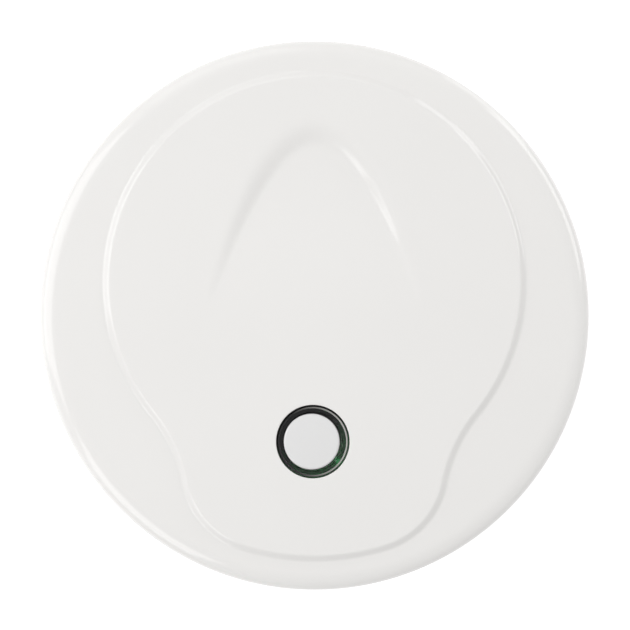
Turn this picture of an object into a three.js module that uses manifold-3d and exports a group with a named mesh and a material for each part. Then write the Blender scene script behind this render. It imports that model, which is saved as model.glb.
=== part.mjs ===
// Optical smoke alarm: a round, glossy ceiling unit that twists onto a mounting plate.
// Millimetres, +Z up. The origin is the centre of the mounting plate's back face, which lies on the ceiling.
// +Z points out of the alarm's face, +Y towards the crown of the scooped recess; the test button is on -Y.
import * as THREE from "three";
import { mergeVertices } from "three/addons/utils/BufferGeometryUtils.js";
import Module from "manifold-3d";

const wasm = await Module();
wasm.setup();

// ---------------------------------------------------------------- driving dimensions
const DEG = Math.PI / 180;
const ROUND = 72; // facets of the large round pieces
const MEDIUM_ROUND = 48;
const SMALL_ROUND = 24;
const HOLE_ROUND = 16;
const SEAT = 0.1; // gap between pieces that are fixed to each other
const PLAY = 0.4; // gap round pieces that slide, turn or lie loose
const BITE = 0.2; // how far joined solids run into each other
const THROUGH = 1; // how far a cutter stands past the surface it cuts

// Heights of the stack, from the ceiling out.
const PLATE_WEB = [0.8, 2.6];
const FLOOR = [7.4, 9.4]; // the rear housing's floor
const TRAY_TOP = 18.8;
const GRILLE_Z = [TRAY_TOP + SEAT, 26.6];
const COVER_FOOT = 24.9;
const BOARD = [31.4, 33];
const COVER_INSIDE = 37.8;
const CROWN = 41; // top of the face, on the axis

// Front cover.
const COVER_R = 58;
const COVER_FOOT_R = 57.5;
const COVER_WALL = 2.1;
const FACE_BOW = 3200; // the face drops by r * r / FACE_BOW
const SHOULDER_W = 4; // the rim's rounded shoulder, across
const SHOULDER_H = 2; // and down
const FACE_RINGS = 9; // rings of facets over the panel
const SHOULDER_RINGS = 4;
const STEP_H = 0.8; // height of the raised panel
const STEP_W = 2.2; // width of the panel's sloping edge

// The raised panel's outline: tangent arcs, the same on both sides.
const PANEL_TOP = { x: 0, y: 7, r: 44.2 };
const PANEL_BASE = { x: 0, y: 0, r: 51.4 };
const PANEL_CORNER_R = 18;
const PANEL_CORNER_ANGLE = -72.8 * DEG;
const PANEL_WAIST_R = 33;

// The scoop in the panel: a parabola open towards the button, y = SCOOP_TOP - x * x / SCOOP_SPREAD.
const SCOOP_TOP = 38.4;
const SCOOP_SPREAD = 14;
const SCOOP_DEPTH = 1.25;
const SCOOP_FULL = 30; // it is that deep from this y up to its crown
const SCOOP_END = -1; // and has faded out at this y
const SCOOP_WALL = 6.5; // width of its sloping wall at the crown
const SCOOP_WALL_END = 1.2; // and level with the axis

// Test button.
const BUTTON_X = -0.35; // a little left of the middle
const BUTTON_Y = -26.6;
const BUTTON_HOLE_R = 7.75;
const LENS_R = BUTTON_HOLE_R - PLAY;
const LENS_TOP = 40.5;
const LENS_DISH = 0.2; // the ring's top lies this far below its raised lip
const LENS_WEB = 38;
const LENS_FLANGE_R = 8.7;
const CAP_R = 5.9;
const CAP_TOP = 40.75;
const CAP_OFFSET_X = -0.25; // the cap sits a little off the middle of its hole
const CAP_SEAT = LENS_WEB + 1.1;
const PLUNGER_TOP = LENS_WEB - 0.65;

// Mounting plate and rear housing.
const PLATE_R = 54.6;
const PLATE_RIM = 3.8;
const SPIGOT_TOP = 5.6;
const CABLE_HOLE_R = 9.5;
const SCREW_SLOT_R = 30; // the two arc slots are 60 mm apart
const SCREW_SLOT_W = 4;
const TRAY_FOOT = { r: 55.2, z: 3 };
const TRAY_R = 56.2;
const TRAY_WALL = 2;
const POST_ANGLES = [30, 150, 270];
const POST_AT = 41.5;
const SCREW = { shank: 1.25, head: 2.4, headHeight: 2, seat: 25, tip: 37 };
const SCREW_CLEARANCE = 0.35; // all round the shank where it passes through
const PILOT_R = 1.55;

// Bayonet: the plate's ledges reach outwards, and the housing's hooks reach inwards below them.
const BAYONET_ANGLES = [90, 210, 330];
const BAYONET_HALF = 8; // degrees each way
const LEDGE = { inner: 39.6, stem: 41.6, outer: 45, z0: 5.2, z1: 6.4 };
const HOOK = { inner: 42.4, stem: 45.6, outer: 47.4, z0: 3.4, z1: 4.6 };
const STOP = { from: 11.3, to: 8.8 }; // degrees before the ledge's middle
const TWIST = 20; // degrees from locked to free

// Raised marks that line up when the head is locked, and at the plate's second one when it is free.
const MARK = { angle: 270, half: 0.8, raised: 0.5 };
const TRAY_MARK_Z = [4, 9];

// Power slider.
const SLIDER_ANGLE = 290;
const SLIDER = { inner: 13, outer: 15, half: 4, z0: 3.4 };
const SWITCH_FLOOR = 26.5;

// Smoke inlet.
const GRILLE = { inner: 47.5, outer: 55.6, fins: 36, finWidth: 1.4 };
const SCREEN = { inner: 46.9, outer: 47.2 };

// Insides.
const CHAMBER_AT = [0, 19];
const CHAMBER_R = 22.6;
const LAMP_ANGLES = [180, 50]; // the light's and the receiver's places round the chamber
const LAMP_BACK = 16.2; // distance of their back ends from the chamber's axis
const LAMP_Z = 25.2;
const SOUNDER_AT = [-24, -20];
const SOUNDER_R = 14.5;
const BATTERY = { angle: -35, distance: 32, r: 8.5, length: 34.5, z: 20.6 };
const BOARD_R = 48;

// ---------------------------------------------------------------- materials
const finish = (color, roughness, metalness = 0) =>
  new THREE.MeshStandardMaterial({ color, roughness, metalness });
const GLOSS_WHITE = finish(0xeceae6, 0.18);
const CAP_WHITE = finish(0xe4e4e4, 0.3);
const SATIN_WHITE = finish(0xe4e2dd, 0.45);
const SMOKY_CLEAR = finish(0x6d7370, 0.08);
SMOKY_CLEAR.transparent = true;
SMOKY_CLEAR.opacity = 0.35;
const BLACK_PLASTIC = finish(0x17181a, 0.6);
const GREY_PLASTIC = finish(0x5b5e62, 0.5);
const BOARD_GREEN = finish(0x1f5a33, 0.4);
const STEEL = finish(0xb9bcbf, 0.3, 1);
const BRASS = finish(0xc9a24c, 0.3, 1);
const COPPER = finish(0xa65a2e, 0.35, 1);
const CERAMIC = finish(0xd9d8d2, 0.5);
const CELL_WRAP = finish(0x2f4d7c, 0.35);

// ---------------------------------------------------------------- solid helpers
// A closed three.js geometry as a solid that can be joined and cut.
function solid(geometry) {
  const bare = geometry.index ? geometry.toNonIndexed() : geometry.clone();
  bare.deleteAttribute("normal");
  bare.deleteAttribute("uv");
  const merged = mergeVertices(bare, 1e-4);
  return new wasm.Manifold(
    new wasm.Mesh({
      numProp: 3,
      vertProperties: merged.attributes.position.array,
      triVerts: new Uint32Array(merged.index.array),
    }),
  );
}

const join = (first, ...others) => others.reduce((made, other) => made.add(other), first);
const cut = (first, ...others) => others.reduce((made, other) => made.subtract(other), first);
const onCircle = (r, degrees) => [r * Math.cos(degrees * DEG), r * Math.sin(degrees * DEG)];
const turned = (shape, degrees) => shape.rotate([0, 0, degrees]);

// A solid of revolution about Z from [radius, height] points, anticlockwise in that plane.
function lathe(profile, segments = ROUND) {
  const points = profile.map(([r, z]) => new THREE.Vector2(r, z));
  return solid(new THREE.LatheGeometry(points, segments).rotateX(Math.PI / 2));
}

function disc(r, z0, z1, segments = ROUND) {
  return lathe([[0, z0], [r, z0], [r, z1], [0, z1]], segments);
}

function ring(inner, outer, z0, z1, segments = ROUND) {
  return lathe([[inner, z0], [outer, z0], [outer, z1], [inner, z1], [inner, z0]], segments);
}

function cylinder(r, x, y, z0, z1, segments = SMALL_ROUND) {
  const geometry = new THREE.CylinderGeometry(r, r, z1 - z0, segments);
  return solid(geometry.rotateX(Math.PI / 2).translate(x, y, (z0 + z1) / 2));
}

// A cylinder lying along X, centred on [x, y, z].
function lyingCylinder(r, length, x, y, z, segments = SMALL_ROUND) {
  const geometry = new THREE.CylinderGeometry(r, r, length, segments);
  return solid(geometry.rotateZ(Math.PI / 2).translate(x, y, z));
}

function box(x0, x1, y0, y1, z0, z1) {
  const geometry = new THREE.BoxGeometry(x1 - x0, y1 - y0, z1 - z0);
  return solid(geometry.translate((x0 + x1) / 2, (y0 + y1) / 2, (z0 + z1) / 2));
}

// A box from x0 to x1 that reaches the same distance to both sides of the X axis.
const bar = (x0, x1, half, z0, z1) => box(x0, x1, -half, half, z0, z1);

// A block between two radii and two angles in degrees.
function arcBand(inner, outer, from, to, z0, z1, curveSegments = 4) {
  const shape = new THREE.Shape();
  shape.absarc(0, 0, outer, from * DEG, to * DEG, false);
  shape.absarc(0, 0, inner, to * DEG, from * DEG, true);
  const options = { depth: z1 - z0, bevelEnabled: false, curveSegments };
  return solid(new THREE.ExtrudeGeometry(shape, options).translate(0, 0, z0));
}

// A slot with round ends that follows a circle of radius r.
function arcSlot(r, width, from, to, z0, z1) {
  const band = arcBand(r - width / 2, r + width / 2, from, to, z0, z1);
  const end = (angle) => cylinder(width / 2, ...onCircle(r, angle), z0, z1, 12);
  return join(band, end(from), end(to));
}

// ---------------------------------------------------------------- scene helpers
const smoke_alarm = new THREE.Group();

function part(name, shape, material, group = smoke_alarm) {
  const made = shape.getMesh();
  const geometry = new THREE.BufferGeometry();
  geometry.setAttribute("position", new THREE.BufferAttribute(made.vertProperties, 3));
  geometry.setIndex(new THREE.BufferAttribute(made.triVerts, 1));
  geometry.computeVertexNormals();
  const mesh = new THREE.Mesh(geometry, material);
  mesh.name = name;
  group.add(mesh);
  return mesh;
}

function groupAt(x, y, z = 0, degrees = 0, parent = smoke_alarm) {
  const group = new THREE.Group();
  group.position.set(x, y, z);
  group.rotation.z = degrees * DEG;
  parent.add(group);
  return group;
}

// ---------------------------------------------------------------- mounting plate
// A mark that stands out from a wall of radius r, with its middle at an angle in degrees.
function raisedMark(r, middle, half, z0, z1) {
  return arcBand(r - 1, r + MARK.raised, middle - half, middle + half, z0, z1);
}

// A straight screw slot on the X axis, in a pad that reaches back to the ceiling.
function straightSlot(top) {
  const r = SCREW_SLOT_W / 2;
  const [from, to] = [SCREW_SLOT_R - 6, SCREW_SLOT_R + 2];
  return join(
    bar(from, to, r, -THROUGH, top + THROUGH),
    cylinder(r, from, 0, -THROUGH, top + THROUGH, 12),
    cylinder(r, to, 0, -THROUGH, top + THROUGH, 12),
  );
}

function mountingPlate() {
  const [web, top] = PLATE_WEB;
  const rimInner = PLATE_R - PLATE_RIM;
  let plate = join(
    disc(rimInner + BITE, web, top),
    ring(rimInner, PLATE_R, 0, top),
    ring(rimInner, rimInner + 1.6, top, SPIGOT_TOP),
    disc(CABLE_HOLE_R + 2, 0, top, MEDIUM_ROUND),
  );
  for (let angle = 0; angle < 360; angle += 60) {
    plate = plate.add(turned(bar(CABLE_HOLE_R + 1, rimInner + BITE, 0.7, 0, top), angle));
  }
  for (const angle of [0, 180]) {
    const pad = arcBand(SCREW_SLOT_R - 5, SCREW_SLOT_R + 5, angle - 17, angle + 17, 0, top);
    const slot = arcSlot(SCREW_SLOT_R, SCREW_SLOT_W, angle - 10, angle + 10, -THROUGH, top + THROUGH);
    plate = cut(plate.add(pad), slot);
  }
  for (const angle of [90, 270]) {
    const pad = bar(SCREW_SLOT_R - 9, SCREW_SLOT_R + 5, 5, 0, top);
    plate = cut(plate.add(turned(pad, angle)), turned(straightSlot(top), angle));
  }
  plate = plate.subtract(cylinder(CABLE_HOLE_R, 0, 0, -THROUGH, top + THROUGH, MEDIUM_ROUND));

  for (const angle of BAYONET_ANGLES) {
    const from = angle - BAYONET_HALF;
    const to = angle + BAYONET_HALF;
    const window = arcBand(LEDGE.stem + PLAY, LEDGE.outer + PLAY, from, to, -THROUGH, top + THROUGH);
    plate = join(
      plate.subtract(window),
      arcBand(LEDGE.inner, LEDGE.stem, angle - STOP.from, to, top - BITE, LEDGE.z1),
      arcBand(LEDGE.inner, LEDGE.outer, from, to, LEDGE.z0, LEDGE.z1),
      arcBand(LEDGE.inner, LEDGE.outer, angle - STOP.from, angle - STOP.to, top - BITE, LEDGE.z1),
    );
  }
  plate = join(
    plate,
    raisedMark(PLATE_R, MARK.angle, MARK.half, 0.5, top - 0.5),
    raisedMark(PLATE_R, MARK.angle + TWIST, MARK.half / 2, 0.5, top - 0.5),
  );
  // Two prongs hold the power slider still while the head turns.
  const clear = SLIDER.half + 1;
  for (const from of [SLIDER_ANGLE - clear - 5, SLIDER_ANGLE + clear]) {
    plate = plate.add(arcBand(SLIDER.inner - 0.6, SLIDER.outer + 0.6, from, from + 5, top - BITE, LEDGE.z1));
  }
  part("mounting_plate", plate, SATIN_WHITE);
}

// ---------------------------------------------------------------- rear housing
function tray() {
  const inside = TRAY_R - TRAY_WALL;
  const skirtInside = TRAY_FOOT.r - 1.8;
  return lathe([
    [0, FLOOR[0]],
    [skirtInside + 0.1, FLOOR[0]],
    [skirtInside, TRAY_FOOT.z],
    [TRAY_FOOT.r - 0.5, TRAY_FOOT.z],
    [TRAY_FOOT.r, TRAY_FOOT.z + 0.6],
    [TRAY_R, TRAY_TOP - 0.7],
    [TRAY_R - 0.6, TRAY_TOP],
    [inside, TRAY_TOP],
    [inside - 0.6, FLOOR[1]],
    [0, FLOOR[1]],
  ]);
}

// A rib across the battery's axis with a round seat for it.
function batterySaddle(along) {
  const rib = box(-0.9, 0.9, -8, 8, FLOOR[1] - BITE, 17);
  const seat = lyingCylinder(BATTERY.r + PLAY, 4, 0, 0, BATTERY.z, 32);
  const saddle = turned(rib.subtract(seat).translate([along, 0, 0]), BATTERY.angle + 90);
  return saddle.translate([...onCircle(BATTERY.distance, BATTERY.angle), 0]);
}

function rearHousing() {
  let housing = join(tray(), batterySaddle(-9), batterySaddle(9));
  for (const angle of POST_ANGLES) {
    const [x, y] = onCircle(POST_AT, angle);
    housing = cut(
      housing.add(cylinder(4, x, y, FLOOR[1] - BITE, BOARD[0] - SEAT)),
      cylinder(SCREW.head + PLAY, x, y, FLOOR[0] - THROUGH, SCREW.seat),
      cylinder(SCREW.shank + SCREW_CLEARANCE, x, y, SCREW.seat - THROUGH, BOARD[0], HOLE_ROUND),
    );
  }
  for (const angle of BAYONET_ANGLES) {
    const from = angle - BAYONET_HALF;
    const to = angle + BAYONET_HALF;
    housing = join(
      housing,
      arcBand(HOOK.stem, HOOK.outer, from, to, HOOK.z0, FLOOR[0] + BITE),
      arcBand(HOOK.inner, HOOK.outer, from, to, HOOK.z0, HOOK.z1),
    );
  }
  const leaningOut = 0.3; // how much wider the wall is behind the mark than at its foot
  housing = housing.add(raisedMark(TRAY_FOOT.r + leaningOut, MARK.angle, MARK.half, ...TRAY_MARK_Z));
  const slot = arcBand(
    SLIDER.inner - PLAY,
    SLIDER.outer + PLAY,
    SLIDER_ANGLE - TWIST - SLIDER.half - 2,
    SLIDER_ANGLE + SLIDER.half + 2,
    FLOOR[0] - THROUGH,
    FLOOR[1] + THROUGH,
    8,
  );
  part("rear_housing", housing.subtract(slot), GLOSS_WHITE);
}

// ---------------------------------------------------------------- smoke inlet
function inletGrille() {
  const { inner, outer, fins, finWidth } = GRILLE;
  const [z0, z1] = GRILLE_Z;
  const band = 1.4;
  const middle = (z0 + z1) / 2;
  let grille = join(
    ring(inner, outer, z0, z0 + band),
    ring(inner + 0.5, outer - 0.8, middle - 0.4, middle + 0.4),
    ring(inner, outer - 0.4, z1 - band, z1),
  );
  const fin = bar(inner + 0.6, outer - 1.2, finWidth / 2, z0 + 0.5, z1 - 0.5);
  for (let k = 0; k < fins; k++) {
    grille = grille.add(turned(fin, (k + 0.5) * (360 / fins)));
  }
  part("inlet_grille", grille, SATIN_WHITE);
  part("insect_screen", ring(SCREEN.inner, SCREEN.outer, z0, z1), STEEL);
}

// ---------------------------------------------------------------- front cover
// The point of a circle that lies towards another circle's centre.
function pointTowards(circle, other) {
  const share = circle.r / Math.hypot(other.x - circle.x, other.y - circle.y);
  return { x: circle.x + (other.x - circle.x) * share, y: circle.y + (other.y - circle.y) * share };
}

// The circle of radius r that touches two others from outside, on the +X side of them.
function circleTouching(a, b, r) {
  const gap = Math.hypot(b.x - a.x, b.y - a.y);
  const along = ((a.r + r) ** 2 - (b.r + r) ** 2 + gap * gap) / (2 * gap);
  const across = Math.sqrt((a.r + r) ** 2 - along * along);
  const ux = (b.x - a.x) / gap;
  const uy = (b.y - a.y) / gap;
  return { x: a.x + ux * along - uy * across, y: a.y + uy * along + ux * across, r };
}

const cornerReach = PANEL_BASE.r - PANEL_CORNER_R;
const PANEL_CORNER = {
  x: cornerReach * Math.cos(PANEL_CORNER_ANGLE),
  y: cornerReach * Math.sin(PANEL_CORNER_ANGLE),
  r: PANEL_CORNER_R,
};
const PANEL_WAIST = circleTouching(PANEL_TOP, PANEL_CORNER, PANEL_WAIST_R);
const directionOf = (point) => Math.atan2(point.y, point.x);
const WAIST_FROM = directionOf(pointTowards(PANEL_CORNER, PANEL_WAIST));
const WAIST_TO = directionOf(pointTowards(PANEL_TOP, PANEL_WAIST));

// The distance from the axis to the panel's outline, in the direction of the unit vector [ux, uy].
function panelRadius(ux, uy) {
  const mirrored = Math.abs(ux);
  const direction = Math.atan2(uy, mirrored);
  const distanceTo = (circle, side) => {
    const along = mirrored * circle.x + uy * circle.y;
    const rest = circle.x ** 2 + circle.y ** 2 - circle.r ** 2;
    return along + side * Math.sqrt(along * along - rest);
  };
  if (direction > WAIST_TO) return distanceTo(PANEL_TOP, 1);
  if (direction > WAIST_FROM) return distanceTo(PANEL_WAIST, -1);
  if (direction > PANEL_CORNER_ANGLE) return distanceTo(PANEL_CORNER, 1);
  return distanceTo(PANEL_BASE, 1);
}

// How far the scoop sinks below the panel at [x, y]. The parabola runs along the middle of its wall.
function scoopDepth(x, y) {
  const wall = THREE.MathUtils.lerp(SCOOP_WALL_END, SCOOP_WALL, THREE.MathUtils.clamp(y / SCOOP_TOP, 0, 1));
  const slope = Math.hypot(1, (2 * x) / SCOOP_SPREAD);
  const inwards = (SCOOP_TOP - (x * x) / SCOOP_SPREAD - y) / slope;
  const fade = THREE.MathUtils.smoothstep(y, SCOOP_END, SCOOP_FULL);
  return SCOOP_DEPTH * fade * THREE.MathUtils.smoothstep(inwards, -wall / 2, wall / 2);
}

// One section of the cover's shell, from the axis over the face, down the rim and back underneath.
function coverSection(ux, uy) {
  const bow = (r) => CROWN - (r * r) / FACE_BOW;
  const panel = panelRadius(ux, uy);
  const points = [[0, CROWN - scoopDepth(0, 0)]];
  for (let k = 1; k <= FACE_RINGS; k++) {
    const r = (panel - STEP_W / 2) * (k / FACE_RINGS) ** 0.85; // a little closer together further out
    points.push([r, bow(r) - scoopDepth(ux * r, uy * r)]);
  }
  points.push([panel + STEP_W / 2, bow(panel) - STEP_H]);

  const shoulderFrom = COVER_R - SHOULDER_W;
  const shoulderTop = bow(shoulderFrom) - STEP_H;
  for (let k = 0; k <= SHOULDER_RINGS; k++) {
    const a = (k / SHOULDER_RINGS) * (Math.PI / 2);
    const drop = SHOULDER_H * (1 - Math.cos(a));
    points.push([shoulderFrom + SHOULDER_W * Math.sin(a), shoulderTop - drop]);
  }
  points.push([COVER_FOOT_R, COVER_FOOT]);
  points.push([COVER_FOOT_R - COVER_WALL + 0.2, COVER_FOOT]);
  points.push([COVER_R - COVER_WALL, shoulderTop - SHOULDER_H]);
  points.push([shoulderFrom - 0.6, COVER_INSIDE]);
  points.push([0, COVER_INSIDE]);
  return points;
}

// The shell as one closed skin: the same section at every angle round the axis, joined at its two poles.
function coverShell() {
  const sections = [];
  for (let i = 0; i < ROUND; i++) {
    const [ux, uy] = onCircle(1, (i * 360) / ROUND);
    sections.push(coverSection(ux, uy).map(([r, z]) => [ux * r, uy * r, z]));
  }
  const count = sections[0].length;
  const faces = [];
  for (let i = 0; i < ROUND; i++) {
    const here = i * count;
    const next = ((i + 1) % ROUND) * count;
    for (let k = 0; k < count - 1; k++) {
      if (k > 0) faces.push(here + k, here + k + 1, next + k);
      if (k < count - 2) faces.push(here + k + 1, next + k + 1, next + k);
    }
  }
  const geometry = new THREE.BufferGeometry();
  geometry.setAttribute("position", new THREE.Float32BufferAttribute(sections.flat(2), 3));
  geometry.setIndex(faces);
  return solid(geometry);
}

function frontCover() {
  const [under, over] = [COVER_INSIDE - THROUGH, CROWN + THROUGH];
  let cover = coverShell().subtract(cylinder(BUTTON_HOLE_R, BUTTON_X, BUTTON_Y, under, over, MEDIUM_ROUND));
  for (const angle of POST_ANGLES) {
    const [x, y] = onCircle(POST_AT, angle);
    cover = cut(
      cover.add(cylinder(3.2, x, y, BOARD[1] + SEAT, COVER_INSIDE + BITE)),
      cylinder(PILOT_R, x, y, BOARD[1] - THROUGH, COVER_INSIDE, HOLE_ROUND),
    );
  }
  part("front_cover", cover, GLOSS_WHITE);
}

// ---------------------------------------------------------------- circuit board and what it carries
function circuitBoard() {
  const [back, front] = BOARD;
  const holes = POST_ANGLES.map((angle) =>
    cylinder(PILOT_R + 0.15, ...onCircle(POST_AT, angle), back - THROUGH, front + THROUGH, HOLE_ROUND),
  );
  // Flats on both sides let air pass up to the cover.
  const flats = [0, 180].map((angle) =>
    turned(bar(BOARD_R - 2, BOARD_R + THROUGH, 30, back - THROUGH, front + THROUGH), angle),
  );
  part("circuit_board", cut(disc(BOARD_R, back, front), ...holes, ...flats), BOARD_GREEN);

  let chip = box(-5, 5, -2, 2, front + 0.15, front + 1.7);
  const legs = 8;
  const pitch = 1.27;
  for (let k = 0; k < legs; k++) {
    const x = (k - (legs - 1) / 2) * pitch;
    chip = chip.add(box(x - 0.2, x + 0.2, -3, 3, front, front + 0.5));
  }
  part("microcontroller", chip, BLACK_PLASTIC, groupAt(-22, 4));

  for (const [name, side] of [["status_led_left", -1], ["status_led_right", 1]]) {
    const lamp = box(-0.8, 0.8, -0.5, 0.5, front, front + 0.7);
    part(name, lamp, CERAMIC, groupAt(BUTTON_X + side * 5.2, BUTTON_Y - 4.1, 0, side * -45));
  }
}

// An upright can with a crimped groove near its foot, hanging from the board.
function capacitor(name, x, y) {
  const top = BOARD[0];
  const r = 4;
  const can = lathe([
    [0, top - 11],
    [r - 0.3, top - 11],
    [r, top - 10.7],
    [r, top - 1.6],
    [r - 0.4, top - 1.3],
    [r, top - 1],
    [r, top],
    [0, top],
  ], SMALL_ROUND);
  part(name, can, STEEL, groupAt(x, y));
}

// A bobbin-shaped coil for the sounder's drive voltage.
function boostCoil(x, y) {
  const top = BOARD[0];
  const coil = lathe([
    [0, top - 8],
    [4.5, top - 8],
    [4.5, top - 7],
    [3.4, top - 7],
    [3.4, top - 1],
    [4.5, top - 1],
    [4.5, top],
    [0, top],
  ], SMALL_ROUND);
  part("boost_coil", coil, COPPER, groupAt(x, y));
}

// ---------------------------------------------------------------- optical chamber
// A 5 mm lamp body lying level, its back at LAMP_BACK and its dome towards the chamber's axis.
function lampAt(name, material, angle, chamber) {
  const r = 2.5;
  const length = 6;
  const profile = [[0, 0], [r + 0.4, 0], [r + 0.4, 1], [r, 1], [r, length]];
  for (const a of [30, 60]) {
    profile.push([r * Math.cos(a * DEG), length + r * Math.sin(a * DEG)]);
  }
  profile.push([0, length + r]);
  const holder = groupAt(...onCircle(LAMP_BACK, angle), LAMP_Z, angle, chamber);
  part(name, lathe(profile, HOLE_ROUND).rotate([0, -90, 0]), material, holder);
}

function chamberBase(chamber) {
  const top = BOARD[0] - SEAT;
  const roof = top - 1.8;
  const cradle = (angle) => {
    const block = bar(LAMP_BACK - 7, LAMP_BACK - 1.2, 3.4, LAMP_Z - 3.6, roof + BITE);
    return turned(block.subtract(lyingCylinder(2.8, 9, LAMP_BACK - 4, 0, LAMP_Z)), angle);
  };
  const lightStop = box(-1, 0, 5, 12, 19, roof + BITE);
  const base = join(disc(CHAMBER_R, roof, top, MEDIUM_ROUND), ...LAMP_ANGLES.map(cradle), lightStop);
  part("chamber_base", base, BLACK_PLASTIC, chamber);
}

// Hooked vanes round the chamber let smoke in and keep light out.
function labyrinthRing(chamber) {
  const vanes = 20;
  const floor = [15, 16.4];
  const vaneTop = 29;
  const vane = join(
    box(-2.6, 2.6, -0.5, 0.5, floor[1] - BITE, vaneTop),
    box(1.7, 2.6, -0.5, 2.2, floor[1] - BITE, vaneTop),
  );
  const slanted = turned(vane, 48).translate([19.5, 0, 0]);
  let labyrinth = ring(15.8, CHAMBER_R, ...floor, MEDIUM_ROUND);
  for (let k = 0; k < vanes; k++) {
    labyrinth = labyrinth.add(turned(slanted, (k * 360) / vanes));
  }
  part("labyrinth_ring", labyrinth, BLACK_PLASTIC, chamber);
}

// The lid's ribs scatter stray light away from the receiver.
function chamberLid(chamber) {
  const floor = [12.4, 14.7];
  const ribs = [4, 8, 12].map((r) => ring(r, r + 0.8, floor[1] - BITE, 16.2, SMALL_ROUND));
  part("chamber_lid", join(disc(CHAMBER_R, ...floor, MEDIUM_ROUND), ...ribs), BLACK_PLASTIC, chamber);
}

function opticalChamber() {
  const chamber = groupAt(...CHAMBER_AT);
  chamberBase(chamber);
  labyrinthRing(chamber);
  chamberLid(chamber);
  lampAt("infrared_emitter", SMOKY_CLEAR, LAMP_ANGLES[0], chamber);
  lampAt("photodiode", BLACK_PLASTIC, LAMP_ANGLES[1], chamber);
}

// ---------------------------------------------------------------- sounder
function sounder() {
  const group = groupAt(...SOUNDER_AT);
  const discFoot = 12;
  const discTop = discFoot + 0.3;
  const roof = 20;
  part("sounder_seat", ring(12.2, SOUNDER_R, FLOOR[1], discFoot - SEAT, 36), BLACK_PLASTIC, group);
  part("piezo_disc", disc(13.5, discFoot, discTop, 36), BRASS, group);
  part("piezo_ceramic", disc(10, discTop + 0.05, discTop + 0.3, 36), CERAMIC, group);
  const resonator = lathe([
    [12.9, discTop + SEAT],
    [SOUNDER_R, discTop + SEAT],
    [SOUNDER_R, roof],
    [3, roof],
    [3, roof - 1.2],
    [13.1, roof - 1.2],
    [12.9, discTop + SEAT],
  ], 36);
  part("sounder_resonator", resonator, BLACK_PLASTIC, group);
}

// ---------------------------------------------------------------- battery
function battery() {
  const [x, y] = onCircle(BATTERY.distance, BATTERY.angle);
  const group = groupAt(x, y, BATTERY.z, BATTERY.angle + 90);
  const half = BATTERY.length / 2;
  const r = BATTERY.r;
  const cell = lathe([
    [0, -half],
    [r - 0.5, -half],
    [r, -half + 0.5],
    [r, half - 1.9],
    [r - 0.6, half - 1.2],
    [3.2, half - 1.2],
    [3.2, half],
    [0, half],
  ], 32);
  part("battery_cell", cell.rotate([0, 90, 0]), CELL_WRAP, group);
  // Nickel tabs, welded to both ends and bent up to the board.
  const tab = bar(half + 0.3, half + 0.7, 2, -2, BOARD[0] - BATTERY.z - SEAT);
  part("battery_tab_positive", tab, STEEL, group);
  part("battery_tab_negative", turned(tab, 180), STEEL, group);
}

// ---------------------------------------------------------------- test button and its switch
class Helix extends THREE.Curve {
  constructor(r, z0, z1, turns) {
    super();
    Object.assign(this, { r, z0, z1, turns });
  }
  getPoint(t, target = new THREE.Vector3()) {
    const a = t * this.turns * 2 * Math.PI;
    return target.set(this.r * Math.cos(a), this.r * Math.sin(a), THREE.MathUtils.lerp(this.z0, this.z1, t));
  }
}

function buttonSpring(group) {
  const wire = 0.25;
  const turns = 3;
  const section = new THREE.Shape();
  section.absarc(0, 0, wire, 0, 2 * Math.PI, false);
  const path = new Helix(5, BOARD[1] + wire + SEAT, LENS_WEB - wire - SEAT, turns);
  const options = { extrudePath: path, steps: turns * 16, curveSegments: 3, bevelEnabled: false };
  part("button_spring", solid(new THREE.ExtrudeGeometry(section, options)), STEEL, group);
}

// The clear ring and its web: the cap sits in the pocket on top, and a stem under the web meets the switch.
function buttonLens(group) {
  const flange = [LENS_WEB - 1.4, LENS_WEB - 0.6];
  const pocketR = CAP_R + PLAY;
  const stem = 1.5;
  const lens = lathe([
    [0, flange[1]],
    [stem, flange[1]],
    [stem, LENS_WEB],
    [6, LENS_WEB],
    [6, flange[0]],
    [LENS_FLANGE_R, flange[0]],
    [LENS_FLANGE_R, flange[1]],
    [LENS_R, flange[1]],
    [LENS_R, LENS_TOP - 0.3],
    [LENS_R - 0.15, LENS_TOP],
    [LENS_R - 0.45, LENS_TOP - LENS_DISH],
    [pocketR, LENS_TOP - LENS_DISH],
    [pocketR, CAP_SEAT],
    [0, CAP_SEAT],
  ], MEDIUM_ROUND);
  part("button_lens", lens, SMOKY_CLEAR, group);
}

function testButton() {
  const group = groupAt(BUTTON_X, BUTTON_Y);
  buttonLens(group);
  const capFoot = CAP_SEAT + SEAT;
  const cap = lathe([
    [0, capFoot],
    [CAP_R, capFoot],
    [CAP_R, CAP_TOP - 0.3],
    [CAP_R - 0.3, CAP_TOP],
    [0, CAP_TOP],
  ], MEDIUM_ROUND);
  part("button_cap", cap, CAP_WHITE, group).position.x = CAP_OFFSET_X;
  buttonSpring(group);

  const foot = BOARD[1];
  const bore = cylinder(2, 0, 0, foot + 1.8, foot + 4, HOLE_ROUND);
  part("switch_body", bar(-3, 3, 3, foot, foot + 3.2).subtract(bore), BLACK_PLASTIC, group);
  part("switch_plunger", cylinder(1.6, 0, 0, foot + 2.6, PLUNGER_TOP, HOLE_ROUND), GREY_PLASTIC, group);
}

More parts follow.
